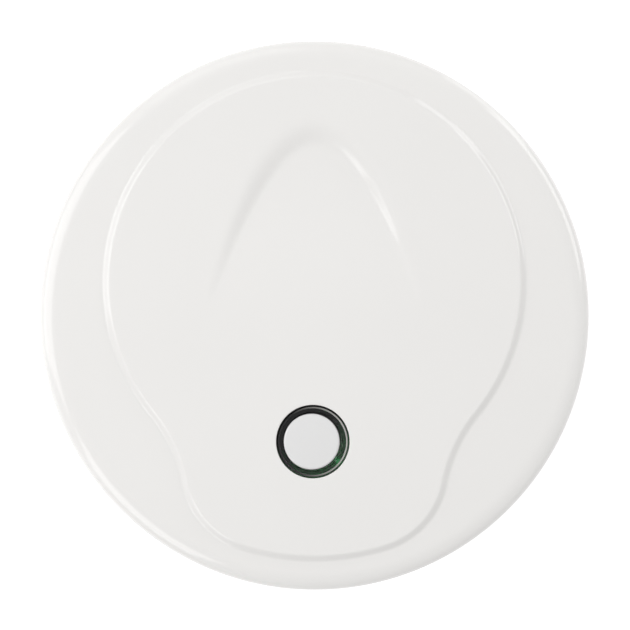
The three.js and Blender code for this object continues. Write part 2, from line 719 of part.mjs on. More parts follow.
// ---------------------------------------------------------------- power slider
// A peg through the housing's floor, a flat head that slides on the floor, and a blade up into the switch.
function powerSlider() {
  const { inner, outer, half } = SLIDER;
  const a = SLIDER_ANGLE;
  const head = FLOOR[1] + 0.3;
  const bladeTop = 28.8;
  const slider = join(
    arcBand(inner, outer, a - half, a + half, SLIDER.z0, head + BITE),
    arcBand(inner - 1.6, outer + 1.6, a - half - 5, a + half + 5, head, head + 1),
    arcBand(inner, outer, a - half + 1, a + half - 1, head + 1 - BITE, bladeTop),
  );
  part("power_slider", slider, BLACK_PLASTIC);

  const block = bar(inner - 2, outer + 2, 5.5, SWITCH_FLOOR, BOARD[0]);
  const groove = arcBand(
    inner - PLAY,
    outer + PLAY,
    a - TWIST - half - 1,
    a + half + 1,
    SWITCH_FLOOR - THROUGH,
    bladeTop + 0.8,
    8,
  );
  part("power_switch", turned(block, a - TWIST / 2).subtract(groove), GREY_PLASTIC);
}

// ---------------------------------------------------------------- case screws
function caseScrews() {
  const { shank, head, headHeight, seat, tip } = SCREW;
  const body = lathe([
    [0, seat - headHeight],
    [head, seat - headHeight],
    [head, seat],
    [shank, seat],
    [shank, tip - 1],
    [0, tip],
  ], HOLE_ROUND);
  const crossBar = bar(-1.6, 1.6, 0.3, seat - headHeight - THROUGH, seat - headHeight + 1.2);
  const screw = cut(body, crossBar, turned(crossBar, 90));
  POST_ANGLES.forEach((angle, k) => {
    part(`case_screw_${k + 1}`, screw, STEEL, groupAt(...onCircle(POST_AT, angle), 0, angle));
  });
}

// ---------------------------------------------------------------- assembly
mountingPlate();
rearHousing();
inletGrille();
frontCover();
circuitBoard();
capacitor("capacitor_left", -33, 9.5);
capacitor("capacitor_right", 33, 9.5);
boostCoil(-33, -1.5);
opticalChamber();
sounder();
battery();
testButton();
powerSlider();
caseScrews();

export default smoke_alarm;
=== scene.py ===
"""A round, glossy white smoke alarm, lying on its back on a pale floor, seen square from the front."""

import math

import bpy
import numpy as np
from mathutils import Matrix, Vector


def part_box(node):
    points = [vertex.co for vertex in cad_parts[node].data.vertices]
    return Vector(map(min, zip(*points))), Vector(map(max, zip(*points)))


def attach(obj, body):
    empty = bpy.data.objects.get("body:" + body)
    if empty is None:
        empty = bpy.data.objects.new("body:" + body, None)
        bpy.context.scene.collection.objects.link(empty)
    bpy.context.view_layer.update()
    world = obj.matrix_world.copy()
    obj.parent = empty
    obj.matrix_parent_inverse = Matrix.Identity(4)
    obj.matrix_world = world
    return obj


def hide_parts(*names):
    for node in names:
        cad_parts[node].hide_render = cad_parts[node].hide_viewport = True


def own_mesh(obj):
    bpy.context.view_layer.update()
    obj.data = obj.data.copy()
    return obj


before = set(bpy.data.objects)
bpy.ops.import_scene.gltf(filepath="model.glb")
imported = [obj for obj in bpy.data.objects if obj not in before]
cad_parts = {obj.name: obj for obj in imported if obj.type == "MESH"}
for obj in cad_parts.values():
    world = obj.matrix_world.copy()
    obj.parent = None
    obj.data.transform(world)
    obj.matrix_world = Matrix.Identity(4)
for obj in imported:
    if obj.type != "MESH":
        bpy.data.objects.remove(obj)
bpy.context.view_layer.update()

# ------------------------------------------------------------------ sizes, in millimetres
MM = 0.001


def node_box(name):
    """The lowest and highest corner of a CAD node, in millimetres."""
    low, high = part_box(name)
    return Vector(low) / MM, Vector(high) / MM


def on_circle(r, degrees):
    a = math.radians(degrees)
    return r * math.cos(a), r * math.sin(a)


cover_low, cover_high = node_box("front_cover")
housing_low, housing_high = node_box("rear_housing")
_, plate_high = node_box("mounting_plate")
grille_low, grille_high = node_box("inlet_grille")
screen_low, screen_high = node_box("insect_screen")
lens_low, lens_high = node_box("button_lens")
cap_low, cap_high = node_box("button_cap")
spring_low, spring_high = node_box("button_spring")
board_low, board_high = node_box("circuit_board")
cell_low, cell_high = node_box("battery_cell")

SEAT = 0.1  # gap between pieces that are fixed to each other
PLAY = 0.4  # gap round pieces that slide, turn or lie loose
BITE = 0.2  # how far joined solids run into each other
HAIR = 0.01  # keeps faces or arcs from meeting exactly
THROUGH = 1  # how far a cutter stands past the surface it cuts

COVER_R = cover_high.x
CROWN = cover_high.z
FACE_BOW = 3200  # the face drops by r * r / FACE_BOW
COVER_INSIDE = CROWN - 3.2
COVER_WALL = 2.1
COVER_FOOT_R = COVER_R - 0.5
SHOULDER_W = 4  # the rim's rounded shoulder, across
SHOULDER_H = 2  # and down
STEP_H = 0.8  # height of the raised panel
STEP_W = 1.7  # width of the panel's sloping edge
STEP_INSET = 0.15  # the slope's middle lies this far inside the outline

# The raised panel's outline: tangent arcs, each (x, y, radius), the same on both sides.
PANEL_TOP = (0, 7, 44.2)
PANEL_BASE = (0, 0, 51.4)
PANEL_CORNER_R = 18
PANEL_CORNER_ANGLE = math.radians(-72.8)
PANEL_WAIST_R = 33

# The scoop in the panel: a parabola open towards the button.
SCOOP_TOP = 38.4
SCOOP_SPREAD = 14
SCOOP_DEPTH = 1.25
SCOOP_FULL = 30  # it is that deep from this y up to its crown
SCOOP_END = -1  # and has faded out at this y
SCOOP_WALL = 6.5  # width of its sloping wall at the crown
SCOOP_WALL_END = 1.2  # and level with the axis

BUTTON = Vector(((lens_low.x + lens_high.x) / 2, (lens_low.y + lens_high.y) / 2))
BUTTON_HOLE_R = 7.75
LENS_R = BUTTON_HOLE_R - PLAY
LENS_DISH = 0.2  # the ring's top lies this far below its raised lip
CAP_R = (cap_high.x - cap_low.x) / 2
CAP_X = (cap_high.x + cap_low.x) / 2

# The housing's posts, with the screws from the back through them into the cover's bosses.
POST_ANGLES = (30, 150, 270)
POST_AT = 41.5
POST_R = 4
BOSS_R = 3.2
PILOT_R = 1.55
SCREW_HEAD_R = 2.4
SCREW_SHANK_R = 1.25
SCREW_CLEARANCE = 0.35
SCREW_SEAT = 25  # height at which the screws' heads rest

FLOOR = (7.4, 9.4)  # the housing's floor
TRAY_FOOT_R = 55.2
TRAY_WALL = 2

PLATE_WEB = (0.8, 2.6)  # the web's back and front
PLATE_RIM = 3.8  # width of the thick rim round it
SPIGOT_TOP = 5.6
CABLE_HOLE_R = 9.5
SCREW_SLOT_R = 30
SCREW_SLOT_W = 4

# Bayonet: the plate's ledges reach outwards, and the housing's hooks reach inwards below them.
BAYONET_ANGLES = (90, 210, 330)
BAYONET_HALF = 8  # degrees each way
LEDGE_INNER, LEDGE_STEM, LEDGE_OUTER = 39.6, 41.6, 45
LEDGE_FOOT = 5.2
HOOK_INNER, HOOK_STEM, HOOK_OUTER = 42.4, 45.6, 47.4
HOOK_Z = (3.4, 4.6)
STOP = (11.3, 8.8)  # degrees before the ledge's middle
TWIST = 20  # degrees from locked to free

# Raised marks that line up when the head is locked, and at the plate's second one when it is free.
MARK_ANGLE = 270
MARK_HALF = 0.8
MARK_RAISED = 0.5
TRAY_MARK_Z = (4, 9)

SLIDER_ANGLE = 290
SLIDER_INNER, SLIDER_OUTER = 13, 15
SLIDER_HALF = 4  # degrees each way

FINE = 512  # facets of the cover
ROUND = 256  # facets of the other large round pieces
SMALL = 96  # facets of the button
CREASE = math.radians(38)  # sharper edges than this are shaded as edges


# ------------------------------------------------------------------ node materials
class Nodes:
    """A new material whose Principled shader the methods build on. Lengths are in metres."""

    def __init__(self, name, colour, roughness, **inputs):
        self.material = bpy.data.materials.new(name)
        self.material.use_nodes = True
        self.tree = self.material.node_tree
        self.shader = self.tree.nodes["Principled BSDF"]
        self.place = self.tree.nodes.new("ShaderNodeTexCoord").outputs["Object"]
        self.normal = None
        self.shader.inputs["Base Color"].default_value = (*colour, 1)
        self.shader.inputs["Roughness"].default_value = roughness
        for key, value in inputs.items():
            self.shader.inputs[key.replace("_", " ")].default_value = value

    def new(self, kind, **settings):
        node = self.tree.nodes.new(kind)
        for key, value in settings.items():
            setattr(node, key, value)
        return node

    def link(self, source, target):
        self.tree.links.new(source, target)

    def stretched(self, x, y, z):
        """The place in space, scaled along each axis."""
        mapping = self.new("ShaderNodeMapping")
        mapping.inputs["Scale"].default_value = (x, y, z)
        self.link(self.place, mapping.inputs["Vector"])
        return mapping.outputs["Vector"]

    def noise(self, size, detail=2.0, place=None):
        """Noise from 0 to 1 whose blobs are about size across."""
        node = self.new("ShaderNodeTexNoise")
        node.inputs["Scale"].default_value = 1 / size
        node.inputs["Detail"].default_value = detail
        self.link(place or self.place, node.inputs["Vector"])
        return node.outputs["Fac"]

    def across_button(self, degrees):
        """From 0 on one side of the button to 1 on its far side, in a direction in plan."""
        from_middle = self.new("ShaderNodeVectorMath", operation="SUBTRACT")
        self.link(self.place, from_middle.inputs[0])
        from_middle.inputs[1].default_value = (BUTTON.x * MM, BUTTON.y * MM, 0)
        along = self.new("ShaderNodeVectorMath", operation="DOT_PRODUCT")
        self.link(from_middle.outputs["Vector"], along.inputs[0])
        along.inputs[1].default_value = (*on_circle(1, degrees), 0)
        return self.remap(along.outputs["Value"], -LENS_R * MM, LENS_R * MM, 0, 1)

    def remap(self, value, from_low, from_high, to_low, to_high):
        node = self.new("ShaderNodeMapRange")
        names = ("From Min", "From Max", "To Min", "To Max")
        for name, number in zip(names, (from_low, from_high, to_low, to_high)):
            node.inputs[name].default_value = number
        self.link(value, node.inputs["Value"])
        return node.outputs["Result"]

    def vary_colour(self, value, colour):
        """Mixes the base colour towards another one by value."""
        mix = self.new("ShaderNodeMix", data_type="RGBA")
        source = self.shader.inputs["Base Color"]
        if source.is_linked:
            self.link(source.links[0].from_socket, mix.inputs["A"])
        else:
            mix.inputs["A"].default_value = source.default_value
        mix.inputs["B"].default_value = (*colour, 1)
        self.link(value, mix.inputs["Factor"])
        self.link(mix.outputs["Result"], source)

    def vary_roughness(self, value, low, high):
        self.link(self.remap(value, 0.3, 0.7, low, high), self.shader.inputs["Roughness"])

    def bump(self, value, height, strength=1.0):
        """Raises the surface by value times height."""
        node = self.new("ShaderNodeBump")
        node.inputs["Distance"].default_value = height
        node.inputs["Strength"].default_value = strength
        self.link(value, node.inputs["Height"])
        if self.normal:
            self.link(self.normal, node.inputs["Normal"])
        self.normal = node.outputs["Normal"]
        self.link(self.normal, self.shader.inputs["Normal"])


def gloss_plastic(name, colour, roughness=0.1):
    """Glossy moulded plastic: a mirror-like skin with faint flow waves and a slightly uneven tone."""
    m = Nodes(name, colour, roughness, Specular_IOR_Level=0.5, IOR=1.5)
    m.vary_colour(m.remap(m.noise(0.03), 0.35, 0.65, 0, 0.5), [c * 0.985 for c in colour])
    m.vary_roughness(m.noise(0.004, 4), roughness * 0.8, roughness * 1.25)
    m.bump(m.noise(0.006, 1), 0.00001)
    m.bump(m.noise(0.0008, 2), 0.0000006)
    return m.material


def satin_plastic(name, colour, roughness=0.42):
    """Spark-eroded moulded plastic: an even, very fine grain."""
    m = Nodes(name, colour, roughness, IOR=1.5)
    m.vary_colour(m.remap(m.noise(0.01, 3), 0.35, 0.65, 0, 0.6), [c * 0.95 for c in colour])
    m.vary_roughness(m.noise(0.002, 4), roughness * 0.85, roughness * 1.15)
    m.bump(m.noise(0.0003, 3), 0.00002)
    return m.material


def clear_painted_shade():
    """Clear acrylic with painted shade: near black on the upper-left side, where the hole's wall shades
    it from the key light, clear on the lower-right, with faint moulding waves.
    """
    painted_shade_tint = (0.05, 0.05, 0.048)
    m = Nodes("clear_painted_shade", painted_shade_tint, 0.02, IOR=1.49, Specular_IOR_Level=0.2, Transmission_Weight=1.0)
    # painted shade: the tint runs from near black on the upper-left to clear on the lower-right
    m.vary_colour(m.remap(m.across_button(-60), 0.3, 0.72, 0, 1), (0.96, 0.99, 0.95))
    m.vary_roughness(m.noise(0.0015, 3), 0.01, 0.04)
    m.bump(m.noise(0.002), 0.00002)
    return m.material


def frosted_lip_painted_highlight():
    """The ground lip of the clear ring, with a painted highlight: near black on the side towards the key
    light, pale grey on the far side.
    """
    m = Nodes("frosted_lip_painted_highlight", (0.01, 0.01, 0.01), 0.35, IOR=1.49)
    # painted highlight: the lip's colour runs from near black on the left to pale grey on the right
    m.vary_colour(m.remap(m.across_button(5), 0.25, 0.95, 0, 1), (0.4, 0.4, 0.38))
    m.vary_roughness(m.noise(0.0008, 3), 0.25, 0.45)
    m.bump(m.noise(0.0006, 3), 0.00004)
    return m.material


def clear_epoxy():
    """The water-clear body of a lamp."""
    m = Nodes("clear_epoxy", (0.85, 0.88, 0.87), 0.05, IOR=1.5, Transmission_Weight=1.0)
    m.vary_colour(m.noise(0.001), (0.7, 0.74, 0.74))
    m.vary_roughness(m.noise(0.0007, 3), 0.02, 0.1)
    m.bump(m.noise(0.001), 0.00001)
    return m.material


def status_glow():
    """The body of the lamp that is lit: a dim green."""
    m = Nodes("status_glow", (0.02, 0.25, 0.07), 0.3, Emission_Strength=0.14)
    m.shader.inputs["Emission Color"].default_value = (0.06, 1, 0.28, 1)
    m.vary_colour(m.noise(0.0008), (0.01, 0.18, 0.05))
    m.vary_roughness(m.noise(0.0007, 3), 0.2, 0.4)
    m.bump(m.noise(0.001), 0.00001)
    return m.material


def metal(name, colour, roughness, grain=(400, 400, 4000)):
    """Rolled or drawn metal with fine lines along the grain."""
    m = Nodes(name, colour, roughness, Metallic=1.0)
    lines = m.noise(1, 3, m.stretched(*grain))
    m.vary_colour(m.remap(m.noise(0.003, 3), 0.35, 0.65, 0, 0.5), [c * 0.8 for c in colour])
    m.vary_roughness(lines, roughness * 0.7, roughness * 1.4)
    m.bump(lines, 0.00002, 0.4)
    return m.material


def solder_mask():
    """Green solder mask over copper tracks on a woven laminate."""
    green = (0.05, 0.5, 0.14)
    m = Nodes("solder_mask", green, 0.28, IOR=1.5)
    tracks = m.new("ShaderNodeTexBrick", offset=0.5, squash=1.0)
    m.link(m.place, tracks.inputs["Vector"])
    settings = {
        "Scale": 260,
        "Mortar Size": 0.06,
        "Mortar Smooth": 0.2,
        "Brick Width": 1.7,
        "Row Height": 0.5,
    }
    for key, value in settings.items():
        tracks.inputs[key].default_value = value
    m.vary_colour(tracks.outputs["Fac"], (0.08, 0.6, 0.2))
    m.vary_colour(m.remap(m.noise(0.02, 3), 0.45, 0.7, 0, 0.6), (0.03, 0.36, 0.1))
    m.vary_roughness(m.noise(0.0015, 3), 0.2, 0.4)
    m.bump(tracks.outputs["Fac"], 0.00003)
    m.bump(m.noise(0.0005, 2), 0.000005)
    return m.material


def shrink_sleeve():
    """Blue heat-shrink film on a battery, with soft wrinkles."""
    m = Nodes("shrink_sleeve", (0.03, 0.08, 0.22), 0.25, IOR=1.5)
    m.vary_colour(m.remap(m.noise(0.008, 4), 0.4, 0.65, 0, 0.6), (0.02, 0.05, 0.13))
    m.vary_roughness(m.noise(0.002, 4), 0.18, 0.4)
    m.bump(m.noise(0.003, 4), 0.00015)
    return m.material


def enamelled_winding():
    """A coil of enamelled copper wire: fine turns one above the other."""
    m = Nodes("enamelled_winding", (0.42, 0.13, 0.04), 0.3, Metallic=1.0)
    turns = m.new("ShaderNodeTexWave", bands_direction="Z")
    turns.inputs["Scale"].default_value = 500
    m.link(m.place, turns.inputs["Vector"])
    m.vary_colour(turns.outputs["Fac"], (0.5, 0.2, 0.07))
    m.vary_roughness(m.noise(0.001, 3), 0.2, 0.45)
    m.bump(turns.outputs["Fac"], 0.0001)
    return m.material


GLOSS_WHITE = gloss_plastic("gloss_white", (0.78, 0.77, 0.755), 0.1)
CAP_WHITE = gloss_plastic("cap_white", (0.71, 0.708, 0.706), 0.16)
SATIN_WHITE = satin_plastic("satin_white", (0.7, 0.69, 0.66))
BLACK = satin_plastic("black_plastic", (0.015, 0.015, 0.016), 0.5)
GREY = satin_plastic("grey_plastic", (0.1, 0.105, 0.11), 0.5)
CERAMIC = satin_plastic("ceramic", (0.68, 0.67, 0.62), 0.5)
CLEAR_PAINTED_SHADE = clear_painted_shade()
FROSTED_LIP_HIGHLIGHT = frosted_lip_painted_highlight()
EPOXY = clear_epoxy()
GLOW = status_glow()
STEEL = metal("steel", (0.6, 0.61, 0.62), 0.28)
BRASS = metal("brass", (0.7, 0.48, 0.15), 0.3)
WINDING = enamelled_winding()
BOARD = solder_mask()
SLEEVE = shrink_sleeve()


# ------------------------------------------------------------------ mesh helpers
class Shells:
    """Collects the closed shells of one piece, in millimetres."""

    def __init__(self):
        self.points = []
        self.faces = []

    def add(self, points, faces):
        start = len(self.points)
        self.points.extend(points)
        self.faces.extend([start + corner for corner in face] for face in faces)
        return self

    def revolve(self, profile, segments=ROUND, centre=(0, 0)):
        """A ring about Z from a closed loop of (radius, height), anticlockwise in that plane.
        A point on the axis becomes a pole."""
        rows = []
        points = []
        for r, z in profile:
            if r < 1e-6:
                rows.append([len(points)] * segments)
                points.append((centre[0], centre[1], z))
                continue
            rows.append(list(range(len(points), len(points) + segments)))
            for k in range(segments):
                a = 2 * math.pi * k / segments
                points.append((centre[0] + r * math.cos(a), centre[1] + r * math.sin(a), z))
        return self.add(points, loop_faces(rows))

    def prism(self, outline, z0, z1, place=None):
        """An upright block over a closed anticlockwise outline. A matrix can turn and move it."""
        n = len(outline)
        points = [(x, y, z0) for x, y in outline] + [(x, y, z1) for x, y in outline]
        if place:
            points = [tuple(place @ Vector(point)) for point in points]
        sides = [(k, (k + 1) % n, n + (k + 1) % n, n + k) for k in range(n)]
        return self.add(points, [*sides, tuple(range(n - 1, -1, -1)), tuple(range(n, 2 * n))])

    def object(self, name):
        mesh = bpy.data.meshes.new(name)
        mesh.from_pydata([(x * MM, y * MM, z * MM) for x, y, z in self.points], [], self.faces)
        mesh.shade_smooth()
        mesh.set_sharp_from_angle(angle=CREASE)
        made = bpy.data.objects.new(name, mesh)
        bpy.context.scene.collection.objects.link(made)
        return made


def loop_faces(rows):
    """The faces between neighbouring rows of a surface that closes both ways. Poles give triangles."""
    faces = []
    count = len(rows[0])
    for k, row in enumerate(rows):
        after = rows[(k + 1) % len(rows)]
        for j in range(count):
            i = (j + 1) % count
            face = (row[j], row[i], after[i], after[j])
            corners = tuple(dict.fromkeys(face))
            if len(corners) > 2:
                faces.append(corners)
    return faces


def rounded(corners, steps=5):
    """A closed outline of (x, y, fillet radius) corners with each fillet drawn as an arc."""
    outline = []
    count = len(corners)
    for k, (x, y, fillet) in enumerate(corners):
        here = Vector((x, y))
        if fillet == 0:
            outline.append((x, y))
            continue
        before = (Vector(corners[k - 1][:2]) - here).normalized()
        after = (Vector(corners[(k + 1) % count][:2]) - here).normalized()
        half = before.angle(after) / 2
        reach = fillet / math.tan(half)
        centre = here + (before + after).normalized() * (fillet / math.sin(half))
        start = here + before * reach - centre
        sweep = start.angle_signed(here + after * reach - centre)
        for step in range(steps + 1):
            a = -sweep * step / steps
            turned = Matrix.Rotation(a, 2) @ start
            outline.append(tuple(centre + turned))
    return outline


def arc_band(inner, outer, start, end, steps=12):
    """The outline between two radii and two angles in degrees."""
    angles = [start + (end - start) * k / steps for k in range(steps + 1)]
    outside = [on_circle(outer, degrees) for degrees in angles]
    inside = [on_circle(inner, degrees) for degrees in reversed(angles)]
    return outside + inside


def circle(r, centre=(0, 0), segments=48):
    angles = [2 * math.pi * k / segments for k in range(segments)]
    return [(centre[0] + r * math.cos(a), centre[1] + r * math.sin(a)) for a in angles]


def turned(outline, degrees, shift=(0, 0)):
    """An outline turned about the origin and then moved."""
    c, s = on_circle(1, degrees)
    return [(x * c - y * s + shift[0], x * s + y * c + shift[1]) for x, y in outline]


def rectangle(x0, x1, y0, y1):
    return [(x0, y0), (x1, y0), (x1, y1), (x0, y1)]


def slot_outline(r, width, start, end):
    """A slot with round ends along a circle of radius r."""
    half = width / 2
    outline = arc_band(r - half, r + half, start, end)
    count = len(outline) // 2
    steps = 8

    def round_end(degrees, first):
        x, y = on_circle(r, degrees)
        offsets = (on_circle(half, degrees + first + 180 * k / steps) for k in range(1, steps))
        return [(x + dx, y + dy) for dx, dy in offsets]

    return outline[:count] + round_end(end, 0) + outline[count:] + round_end(start, 180)


def combine(piece, operation, *shells):
    """Joins other solids to piece, or cuts them out of it."""
    others = [shell.object("tool") for shell in shells]
    for other in others:
        modifier = piece.modifiers.new("combine", "BOOLEAN")
        modifier.operation = operation
        modifier.solver = "EXACT"
        modifier.object = other
    bpy.context.view_layer.update()
    graph = bpy.context.evaluated_depsgraph_get()
    mesh = bpy.data.meshes.new_from_object(piece.evaluated_get(graph))
    piece.modifiers.clear()
    piece.data = mesh
    mesh.set_sharp_from_angle(angle=CREASE)
    for other in others:
        bpy.data.objects.remove(other)
    return piece


def finish_piece(piece, material, body, slot, *nodes):
    """Gives a new piece its material and its body, and hides the CAD nodes that it stands for."""
    piece.data.materials.clear()
    piece.data.materials.append(material)
    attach(piece, body)
    if nodes:
        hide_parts(*nodes)
    return piece


# ------------------------------------------------------------------ front cover
def circle_touching(a, b, r):
    """The circle of radius r that touches circles a and b from outside, on the +X side of them."""
    gap = math.dist(a[:2], b[:2])
    along = ((a[2] + r) ** 2 - (b[2] + r) ** 2 + gap * gap) / (2 * gap)
    across = math.sqrt((a[2] + r) ** 2 - along * along)
    ux, uy = (b[0] - a[0]) / gap, (b[1] - a[1]) / gap
    return a[0] + ux * along - uy * across, a[1] + uy * along + ux * across, r


def direction_between(circle_a, circle_b):
    """The direction, from the axis, of the point where circle a touches circle b."""
    share = circle_a[2] / math.dist(circle_a[:2], circle_b[:2])
    x = circle_a[0] + (circle_b[0] - circle_a[0]) * share
    y = circle_a[1] + (circle_b[1] - circle_a[1]) * share
    return math.atan2(y, x)


corner_reach = PANEL_BASE[2] - PANEL_CORNER_R
PANEL_CORNER = (
    corner_reach * math.cos(PANEL_CORNER_ANGLE),
    corner_reach * math.sin(PANEL_CORNER_ANGLE),
    PANEL_CORNER_R,
)
PANEL_WAIST = circle_touching(PANEL_TOP, PANEL_CORNER, PANEL_WAIST_R)
WAIST_FROM = direction_between(PANEL_CORNER, PANEL_WAIST)
WAIST_TO = direction_between(PANEL_TOP, PANEL_WAIST)


def panel_radius(x, y):
    """The distance from the axis to the panel's outline in the directions of x and y."""
    length = np.maximum(np.hypot(x, y), 1e-9)
    ux, uy = np.abs(x) / length, y / length
    direction = np.arctan2(uy, ux)

    def distance_to(arc, side):
        along = ux * arc[0] + uy * arc[1]
        rest = arc[0] ** 2 + arc[1] ** 2 - arc[2] ** 2
        return along + side * np.sqrt(np.maximum(along * along - rest, 0))

    arcs = [
        (direction > WAIST_TO, distance_to(PANEL_TOP, 1)),
        (direction > WAIST_FROM, distance_to(PANEL_WAIST, -1)),
        (direction > PANEL_CORNER_ANGLE, distance_to(PANEL_CORNER, 1)),
    ]
    return np.select([test for test, _ in arcs], [r for _, r in arcs], distance_to(PANEL_BASE, 1))


def panel_slant(x, y):
    """How much longer the way across the panel's edge is along a radius than square to the edge."""
    small = 1e-3
    c, s = math.cos(small), math.sin(small)
    ahead = panel_radius(x * c - y * s, x * s + y * c)
    behind = panel_radius(x * c + y * s, y * c - x * s)
    slope = (ahead - behind) / (2 * small) / panel_radius(x, y)
    return np.sqrt(1 + slope * slope)


def smooth_step(t):
    t = np.clip(t, 0, 1)
    return t * t * (3 - 2 * t)


def scoop_depth(x, y):
    """The scoop sinks softly across its wall, and fades out towards the button."""
    fade = smooth_step((y - SCOOP_END) / (SCOOP_FULL - SCOOP_END))
    wall = SCOOP_WALL_END + (SCOOP_WALL - SCOOP_WALL_END) * np.clip(y / SCOOP_TOP, 0, 1)
    slope = np.hypot(1, 2 * x / SCOOP_SPREAD)
    inwards = (SCOOP_TOP - x * x / SCOOP_SPREAD - y) / slope
    outside = 0.55  # the share of the wall's width that lies outside the parabola
    ease = 1.3  # the wall starts more softly than it ends
    t = np.clip(inwards / wall + outside, 0, 1)
    return SCOOP_DEPTH * fade * smooth_step(t**ease)


def face_height(x, y):
    """The height of the cover's face, with its bow, its raised panel and its scoop."""
    outside = (np.hypot(x, y) - panel_radius(x, y)) / panel_slant(x, y) + STEP_INSET
    step = STEP_H * smooth_step(outside / STEP_W + 0.5)
    return CROWN - (x * x + y * y) / FACE_BOW - step - scoop_depth(x, y)


class CoverSkin:
    """The rows of points that the cover's skin passes through, from the button hole out and back."""

    def __init__(self):
        angles = np.arange(FINE) * 2 * math.pi / FINE
        self.around = np.stack([np.cos(angles), np.sin(angles)])
        self.rows = []

    def add(self, plan, z):
        """A row over the points of plan, all at one height or each at its own."""
        self.rows.append(np.vstack([plan, z + np.zeros(FINE)]).T)

    def add_on_face(self, plan, drop=0.0):
        self.add(plan, face_height(*plan) - drop)

    def around_button(self, r):
        """A circle in plan round the button's middle."""
        return np.array([[BUTTON.x], [BUTTON.y]]) + r * self.around

    def shell(self):
        index = [list(range(k * FINE, (k + 1) * FINE)) for k in range(len(self.rows))]
        faces = [face[::-1] for face in loop_faces(index)]
        return Shells().add([tuple(map(float, point)) for point in np.concatenate(self.rows)], faces)


def add_button_hole(skin):
    """The hole's wall with a rounded lip. Returns the lip's outer edge."""
    lip = 0.15
    lip_rows = 4
    for z in (COVER_INSIDE, COVER_INSIDE + 1.5):
        skin.add(skin.around_button(BUTTON_HOLE_R), z)
    for k in range(lip_rows + 1):
        a = k / lip_rows * math.pi / 2
        r = BUTTON_HOLE_R + lip * (1 - math.cos(a))
        skin.add_on_face(skin.around_button(r), lip * (1 - math.sin(a)))
    return skin.around_button(BUTTON_HOLE_R + lip)


def add_panel(skin, lip_edge, shoulder_from):
    """The panel out to its edge, then its sloping edge and the flat part round it."""
    edge = panel_radius(*skin.around)
    beyond = 0.3  # the fine rows run this far past the slope on both sides
    margin = (STEP_W / 2 + beyond) * panel_slant(*skin.around)
    slope_from, slope_to = edge - margin, edge + margin
    panel_rows = 104
    for k in range(1, panel_rows + 1):
        skin.add_on_face(lip_edge + (slope_from * skin.around - lip_edge) * k / panel_rows)
    edge_rows = 18
    for k in range(1, edge_rows + 1):
        skin.add_on_face((edge + (2 * k / edge_rows - 1) * margin) * skin.around)
    flange_rows = 6
    for k in range(1, flange_rows):
        skin.add_on_face((slope_to + (shoulder_from - slope_to) * k / flange_rows) * skin.around)


def add_rim(skin, shoulder_from, inner_end):
    """The rim's shoulder, the wall, its foot and the way back inside."""
    shoulder_top = CROWN - shoulder_from**2 / FACE_BOW - STEP_H
    shoulder_foot = shoulder_top - SHOULDER_H
    shoulder_rows = 20
    for k in range(shoulder_rows + 1):
        a = k / shoulder_rows * math.pi / 2
        z = shoulder_top - SHOULDER_H * (1 - math.cos(a))
        skin.add((shoulder_from + SHOULDER_W * math.sin(a)) * skin.around, z)
    wall = rounded(
        [
            (COVER_R, shoulder_foot, 0),
            (COVER_FOOT_R, cover_low.z, 0.5),
            (COVER_FOOT_R - COVER_WALL + 0.2, cover_low.z, 0.3),
            (COVER_R - COVER_WALL, shoulder_foot, 3),
            (shoulder_from - 0.6, COVER_INSIDE, 1),
            (inner_end, COVER_INSIDE, 0),
        ],
        4,
    )
    for r, z in wall[1:-1]:
        skin.add(r * skin.around, z)


def add_underside(skin, outer):
    """The flat inside of the face, from a circle round the axis in to the button hole."""
    hole = skin.around_button(BUTTON_HOLE_R)
    under = outer * skin.around
    for share in (0, 0.33, 0.66):
        skin.add(under + (hole - under) * share, COVER_INSIDE)


def front_cover():
    """The cover's skin, and inside it the three bosses that take the case screws."""
    skin = CoverSkin()
    shoulder_from = COVER_R - SHOULDER_W
    inner_end = shoulder_from - 10  # between the wall's inside and the flat underside
    lip_edge = add_button_hole(skin)
    add_panel(skin, lip_edge, shoulder_from)
    add_rim(skin, shoulder_from, inner_end)
    add_underside(skin, inner_end)
    shells = skin.shell()
    foot, top = board_high.z + SEAT, COVER_INSIDE + BITE
    boss = rounded([(PILOT_R, foot, 0.2), (BOSS_R, foot, 0.3), (BOSS_R + 0.2, top, 0), (PILOT_R, top, 0)])
    for degrees in POST_ANGLES:
        shells.revolve(boss, 48, on_circle(POST_AT, degrees))
    finish_piece(shells.object("cover_shell"), GLOSS_WHITE, "head", "gloss_white", "front_cover")


# ------------------------------------------------------------------ rear housing
def mark_outline(r, middle, half, leaning_out=0.0):
    """A mark that stands out from a wall of radius r, with its middle at an angle in degrees."""
    return arc_band(r - 1, r + leaning_out + MARK_RAISED, middle - half, middle + half)


def battery_saddle(along):
    """The outline of a rib with a round seat, and the matrix that stands it up square to the battery."""
    middle = (cell_low + cell_high) / 2
    seat_r = (cell_high.z - cell_low.z) / 2 + PLAY
    half, thick = 8, 1.8
    reach = math.asin(half / seat_r)
    steps = 16
    angles = [reach - 2 * reach * k / steps for k in range(steps + 1)]
    seat = [(seat_r * math.sin(a), middle.z - seat_r * math.cos(a)) for a in angles]
    outline = [(-half, FLOOR[1] - BITE), (half, FLOOR[1] - BITE), *seat]
    upright = Matrix(((0, 0, 1, 0), (1, 0, 0, 0), (0, 1, 0, 0), (0, 0, 0, 1)))
    turn = Matrix.Rotation(math.atan2(middle.y, middle.x) + math.pi / 2, 4, "Z")
    shift = Matrix.Translation((middle.x, middle.y, 0))
    return outline, shift @ turn @ Matrix.Translation((along - thick / 2, 0, 0)) @ upright, thick


